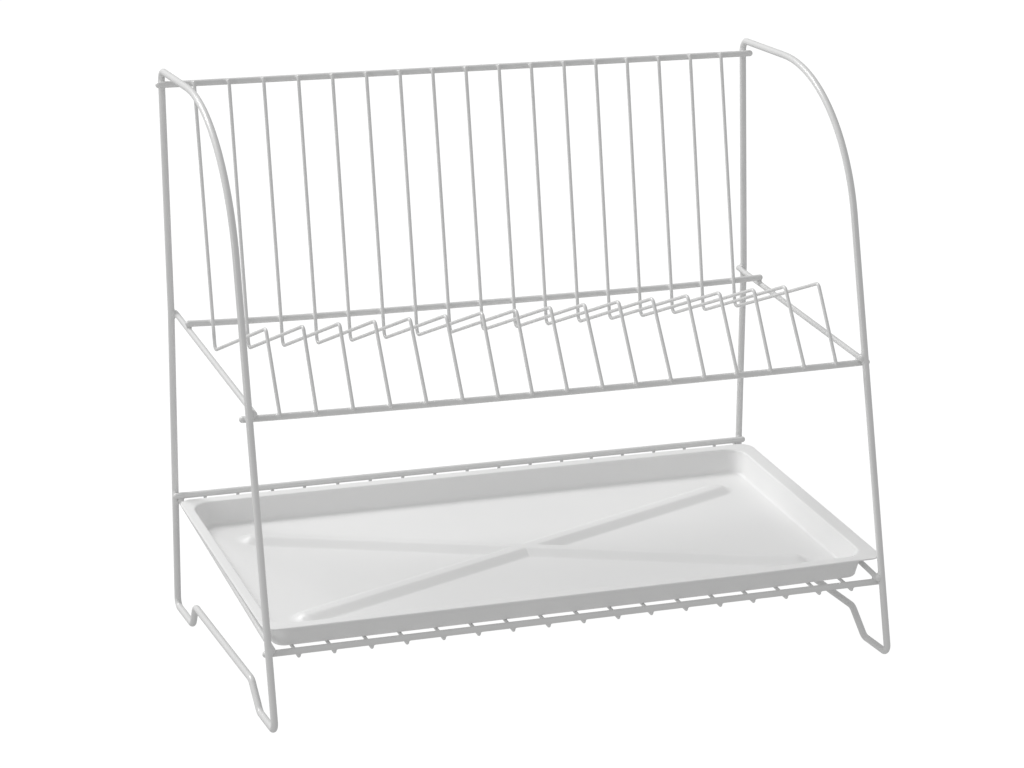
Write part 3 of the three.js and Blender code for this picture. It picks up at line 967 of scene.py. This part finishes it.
@dataclass
class DripTray:
    """The loose tray: flat rim, sloping walls, rounded edges and two crossing ridges in its floor."""

    drawing: Drawing
    finish: MouldedPlasticFinish
    leg_clearance: float = 1.1
    bar_clearance: float = 2.9
    rim_overhang: float = 2.6
    rim_thickness: float = 1.2
    rim_corner_radius: float = 10
    left_rim: float = 6.7
    right_rim: float = 11.2
    end_rim: float = 7.4
    floor_thickness: float = 1.5
    wall: float = 1.65
    opening_radius: float = 15.6
    edge_rounding: float = 1.6
    side_wall_run: float = 3.6
    front_wall_run: float = 2.2
    back_wall_run: float = 7.2
    floor_fillet: float = 2.4
    base_fillet: float = 2.4
    base_corner_radius: float = 8.5
    ridge_height: float = 4.4
    ridge_base: float = 22
    ridge_top: float = 7
    ridge_softness: float = 0.35
    ridge_left_inset: float = 46.4
    ridge_right_inset: float = 50.4
    ridge_front_inset: float = 49.2
    ridge_back_inset: float = 51.2
    shift_x: float = 2.0
    corner_lift: float = 1.2
    lift_start: float = 120
    least_corner_radius: float = 1
    rim_wear: float = 0.6
    same_height: float = 1e-6
    merge_distance: float = 0.01
    corner_points: int = 14
    side_points: int = 120
    turn_rings: int = 7
    rim_rings: int = 5
    edge_rings: int = 9
    wall_rings: int = 12
    floor_rings: int = 90

    @property
    def tilt(self) -> float:
        """The tray's slope as an angle."""
        return math.radians(self.drawing.drip_tilt_degrees)

    @property
    def half_width(self) -> float:
        """Half the rim's width."""
        return self.drawing.leg_plane + self.rim_overhang

    @property
    def back_y(self) -> float:
        """The back edge of the rim."""
        d = self.drawing
        return d.drip_back[0] - d.bar_wire / 2 - self.bar_clearance

    @property
    def back_z(self) -> float:
        """The top of the rim at its back edge, just above the side bars."""
        d = self.drawing
        top = d.drip_side_z(self.back_y) + d.side_bar_wire / 2 * math.hypot(1, d.drip_side_slope)
        return top + d.weld_gap + self.rim_thickness / math.cos(self.tilt)

    @property
    def front_y(self) -> float:
        """The front edge of the rim, just behind the front legs."""
        d = self.drawing
        face = -d.foot_spread - d.front_slope * d.frame_wire / 2
        face += d.frame_wire / 2 * d.lean_length + self.leg_clearance
        rise = self.back_z - d.drip_slope * self.back_y
        return (face + d.front_slope * rise) / (1 - d.front_slope * d.drip_slope)

    @property
    def front_z(self) -> float:
        """The top of the rim at its front edge."""
        return self.back_z - self.drawing.drip_slope * (self.back_y - self.front_y)

    @property
    def depth(self) -> float:
        """The rim's depth along its slope."""
        return (self.back_y - self.front_y) / math.cos(self.tilt)

    @property
    def height(self) -> float:
        """The height from the underside of the floor to the top of the rim."""
        d = self.drawing
        wire_top = d.drip_wire_z(self.front_y) + d.thin_wire / 2 / math.cos(self.tilt)
        return (self.front_z - wire_top) * math.cos(self.tilt) - d.weld_gap

    def outline(self) -> tuple[np.ndarray, np.ndarray]:
        """Describes a rounded rectangle that can be scaled side by side.

        Each of its points is middle + weights x (half size - radius) + radius x direction. Straight sides
        have weights that run from -1 to 1 and one direction, corners have fixed weights and a turning one.

        Returns:
            The weights and directions, one row of x and y for each point, anticlockwise.
        """
        weights, directions = [], []
        signs = np.array([(1, 1), (-1, 1), (-1, -1), (1, -1)], float)
        share = np.linspace(0, 1, self.side_points + 2)[1:-1, None]
        turn = np.concatenate([np.linspace(0, 1, self.corner_points), np.ones(self.side_points)])
        for quarter, sign in enumerate(signs):
            ahead = signs[(quarter + 1) % len(signs)]
            angle = (quarter + turn) * QUARTER
            weights += [np.tile(sign, (self.corner_points, 1)), sign * (1 - share) + ahead * share]
            directions.append(np.column_stack([np.cos(angle), np.sin(angle)]))
        return np.concatenate(weights), np.concatenate(directions)

    def rings(
        self,
        z: np.ndarray | float,
        inset: np.ndarray | float = 0.0,
        share: np.ndarray | float = 0.0,
        way: np.ndarray | float = 0.0,
        rim: np.ndarray | float = 0.0,
        outer: bool = False,
    ) -> np.ndarray:
        """Describes rings round the tray, with each value given for all of them or one by one.

        Args:
            z: Their heights.
            inset: How far they lie inside the opening.
            share: Their share of the walls' runs.
            way: Their share of the way in to the tray's middle.
            rim: Their share of the way out to the rim's edge.
            outer: Whether they lie on the outside of the walls.

        Returns:
            One row per ring: the first five values and the corner radius.
        """
        z, inset, share, way, rim = np.broadcast_arrays(z, inset, share, way, rim)
        foot = self.base_corner_radius if outer else self.opening_radius - self.side_wall_run / 2
        radius = self.opening_radius * (1 - share) + foot * share - inset / 2
        radius = np.maximum(radius, self.least_corner_radius) * (1 - rim) + self.rim_corner_radius * rim
        return np.column_stack([z, inset, share, way, rim, radius])

    def rows(self) -> np.ndarray:
        """Lists the rings from the underside's middle out, over the rim and in to the floor's middle."""
        top, bottom = 0.0, -self.height
        floor, under_rim = bottom + self.floor_thickness, top - self.rim_thickness
        rounding, wall, half = self.edge_rounding, self.wall, self.rim_thickness / 2
        base, fillet = self.base_fillet, self.floor_fillet
        turn = np.linspace(0, QUARTER, self.turn_rings)
        inwards, outwards = 1 - np.cos(turn), 1 - np.sin(turn)
        climb = np.linspace(0, 1, self.turn_rings)
        to_rim = np.linspace(0, 1, self.rim_rings)[1:]
        around = np.linspace(-QUARTER, QUARTER, self.edge_rings)[1:-1]
        fall = np.linspace(0, 1, self.wall_rings)[1:]
        way = np.linspace(0, 1, self.floor_rings)[1:]
        rounded = half / self.right_rim
        edge = self.rings(top - half + half * np.sin(around), rim=1.0)
        edge[:, 4] = 1 - rounded * (1 - np.cos(around))
        low, high = bottom + base, floor + fillet
        climbing, up = under_rim - bottom - base, climb[1:]
        parts = [
            self.rings(bottom, rounding + fillet / 2, 1.0, 1 - climb, outer=True),
            self.rings(bottom + base * inwards, rounding - wall + base * outwards, 1.0, outer=True),
            self.rings(low + climbing * up, rounding - wall - rounding * up, 1 - up, outer=True),
            self.rings(under_rim, -wall, rim=to_rim * (1 - rounded)),
            edge,
            self.rings(top, rim=(1 - to_rim + to_rim[0]) * (1 - rounded)),
            self.rings(top - rounding * inwards, rounding * np.sin(turn)),
            self.rings(top - rounding + (high - top + rounding) * fall, rounding, fall),
            self.rings(floor + fillet * outwards[1:], rounding + fillet * inwards[1:], 1.0),
            self.rings(floor, rounding + fillet, 1.0, way),
        ]
        return np.concatenate(parts)

    def ridge_rise(self, x: np.ndarray, y: np.ndarray) -> np.ndarray:
        """Returns the height of the two crossing ridges above the floor.

        It falls evenly from the full height at the top's half width to nothing at the base's, and the higher
        ridge counts. Both ends of the slope are eased by h -> (h + sqrt(h² + softness²)) / 2.

        Args:
            x: Places across the tray.
            y: Places from the rim's front edge.

        Returns:
            The rise at each place.
        """
        left, right = self.ridge_left_inset - self.half_width, self.half_width - self.ridge_right_inset
        centre, run = (left + right) / 2, (right - left) / 2
        front, back = self.ridge_front_inset, self.depth - self.ridge_back_inset
        middle, half = (front + back) / 2, (back - front) / 2
        fall = (self.ridge_base - self.ridge_top) / 2
        rise = np.full_like(x, -self.ridge_height)
        for side in Side:
            way = unit(np.array([run, side.value * half]))
            along = (x - centre) * way[0] + (y - middle) * way[1]
            length = math.hypot(run, half)
            beyond = np.maximum(np.abs(along) - length, 0)
            apart = np.hypot(beyond, -(x - centre) * way[1] + (y - middle) * way[0])
            rise = np.maximum(rise, self.ridge_height * (self.ridge_base / 2 - apart) / fall)
        rise = (rise + np.hypot(rise, self.ridge_softness)) / 2
        below = self.ridge_height - rise
        return self.ridge_height - (below + np.hypot(below, self.ridge_softness)) / 2

    def surface(self) -> Surface:
        """Returns the tray's closed skin in millimetres.

        Each ring is the rounded rectangle of its row. The rows' inset and share of the walls' runs move its
        sides in, the rim share moves them out to the rim's edge, and the way in shrinks it to the middle.
        """
        z, inset, share, way, rim, radius = (column[:, None] for column in self.rows().T)
        inner = 1 - rim
        left = inner * (self.left_rim + inset + share * self.side_wall_run) - self.half_width
        right = self.half_width - inner * (self.right_rim + inset + share * self.side_wall_run)
        centre, half_x = (left + right) / 2, (right - left) / 2
        front = inner * (self.end_rim + inset + share * self.front_wall_run)
        back = self.depth - inner * (self.end_rim + inset + share * self.back_wall_run)
        middle, half_y = (front + back) / 2, (back - front) / 2
        weights, directions = self.outline()
        x = centre + (1 - way) * (weights[:, 0] * (half_x - radius) + radius * directions[:, 0])
        y = middle + (1 - way) * (weights[:, 1] * (half_y - radius) + radius * directions[:, 1])
        on_floor = (z > -self.height + self.floor_thickness - self.same_height) & (way > 0)
        rise = np.where(on_floor, self.ridge_rise(x, y), 0)
        lift = smooth_step(x, self.lift_start, self.half_width) * (1 - smooth_step(y, 0, self.depth))
        up = z + rise + self.corner_lift * lift
        proud = np.clip(rim * self.rim_wear + rise / self.ridge_height, 0, 1)
        cosine, sine = math.cos(self.tilt), math.sin(self.tilt)
        back = self.front_y + y * cosine - up * sine
        points = np.stack([x + self.shift_x, back, self.front_z + y * sine + up * cosine], axis=-1)
        return Surface(points.reshape(-1, 3), grid_quads(*x.shape), proud.ravel())

    def build(self) -> bpy.types.Object:
        """Returns the tray's object, with its two middles closed."""
        surface = self.surface()
        surface.points = self.drawing.place(surface.points)
        tray = add_piece(surface, "drip_tray", self.finish.build(), "drip_tray")
        work = bmesh.new()
        work.from_mesh(tray.data)
        bmesh.ops.remove_doubles(work, verts=work.verts, dist=METRES * self.merge_distance)
        work.to_mesh(tray.data)
        work.free()
        return tray


def add_object(name: str, data: bpy.types.ID) -> bpy.types.Object:
    """Adds an object with this data to the scene."""
    made = bpy.data.objects.new(name, data)
    bpy.context.scene.collection.objects.link(made)
    return made


def axes_at(place: Sequence[float], *axes: Sequence[float]) -> Matrix:
    """Returns the matrix of a place and three axes."""
    return Matrix.Translation(place) @ Matrix(np.column_stack(axes).tolist()).to_4x4()


def add_piece(
    surface: Surface, node: str, material: bpy.types.Material, body: str
) -> bpy.types.Object:
    """Adds a finished piece in place of the plain node of the same name.

    Args:
        surface: Its skin, in metres.
        node: The node's name.
        material: Its finish.
        body: The moving body it belongs to.

    Returns:
        The new object.
    """
    made = add_object(f"{node}_looks", surface.to_mesh(f"{node}_looks"))
    made.data.materials.append(material)
    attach(made, body)
    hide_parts(node)
    log.info("%s: %d faces", made.name, len(made.data.polygons))
    return made


# The studio


@dataclass(frozen=True)
class SoftLight:
    """A square soft light that faces the rack."""

    name: str
    place: tuple[float, float, float]
    size: float
    watts: float
    target: tuple[float, float, float] = (0, 0, 0.2)

    def build(self) -> None:
        """Adds the light."""
        lamp = bpy.data.lights.new(self.name, "AREA")
        lamp.size = self.size
        lamp.energy = self.watts
        back = unit(np.array(self.place) - np.array(self.target))
        right = unit(np.cross([0.0, 0, 1], back))
        add_object(self.name, lamp).matrix_world = axes_at(self.place, right, np.cross(back, right), back)


@dataclass
class Studio:
    """The camera, the pale floor, even sky light, a high key light behind on the left and a weak left one."""

    focal_length: float = 106.233
    sensor: float = 36
    camera_place: tuple[float, float, float] = (-0.771547, -2.062577, 0.810403)
    camera_right: tuple[float, float, float] = (0.93882027, -0.34432327, 0.00761476)
    camera_up: tuple[float, float, float] = (0.08559912, 0.25469359, 0.96322581)
    camera_back: tuple[float, float, float] = (-0.3336005, -0.9036441, 0.26858527)
    far_clip: float = 100
    floor_size: float = 40
    floor_points: int = 9
    floor_drop: float = 0.0002
    sky: float = 0.5
    lights: tuple[SoftLight, ...] = (
        SoftLight("key_light", (-1.45, 1.7, 2.6), 1.2, 60),
        SoftLight("side_light", (-2.8, -0.9, 0.7), 0.9, 9),
    )

    def camera(self) -> None:
        """Adds the camera at the photograph's angle."""
        data = bpy.data.cameras.new("camera")
        data.sensor_fit = "HORIZONTAL"
        data.sensor_width = self.sensor
        data.lens = self.focal_length
        data.clip_end = self.far_clip
        made = add_object("camera", data)
        made.matrix_world = axes_at(self.camera_place, self.camera_right, self.camera_up, self.camera_back)
        bpy.context.scene.camera = made

    def floor(self) -> None:
        """Adds the floor: a square grid under the feet."""
        steps = np.linspace(-self.floor_size / 2, self.floor_size / 2, self.floor_points)
        x, y = np.meshgrid(steps, steps)
        points = np.stack([x, y, np.full_like(x, -self.floor_drop)], axis=-1).reshape(-1, 3)
        skin = Surface(points, grid_quads(*x.shape, closed_columns=False), np.zeros(x.size))
        made = add_object("floor", skin.to_mesh("floor"))
        made.data.materials.append(PaleFloorFinish().build())
        made.visible_diffuse = False
        made.visible_glossy = False

    def build(self) -> None:
        """Adds everything that isn't part of the object."""
        scene = bpy.context.scene
        scene.view_settings.view_transform = "Standard"
        self.camera()
        self.floor()
        world = bpy.data.worlds.new("sky")
        world.use_nodes = True
        background = world.node_tree.nodes["Background"]
        background.inputs["Color"].default_value = WHITE
        background.inputs["Strength"].default_value = self.sky
        scene.world = world
        for light in self.lights:
            light.build()


def main() -> None:
    """Builds the camera and studio, the rack and the tray, and logs the number of wires and each piece's
    faces.
    """
    logging.basicConfig(level=logging.INFO, format="%(name)s: %(message)s")
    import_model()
    drawing = Drawing()
    Studio().build()
    wires = Rack(drawing, CoatedWireFinish()).build()
    log.info("rack: %d wires", len(wires))
    tray = DripTray(drawing, MouldedPlasticFinish()).build()
    log.info("tray: %s", tray.name)


if __name__ == "__main__":
    main()
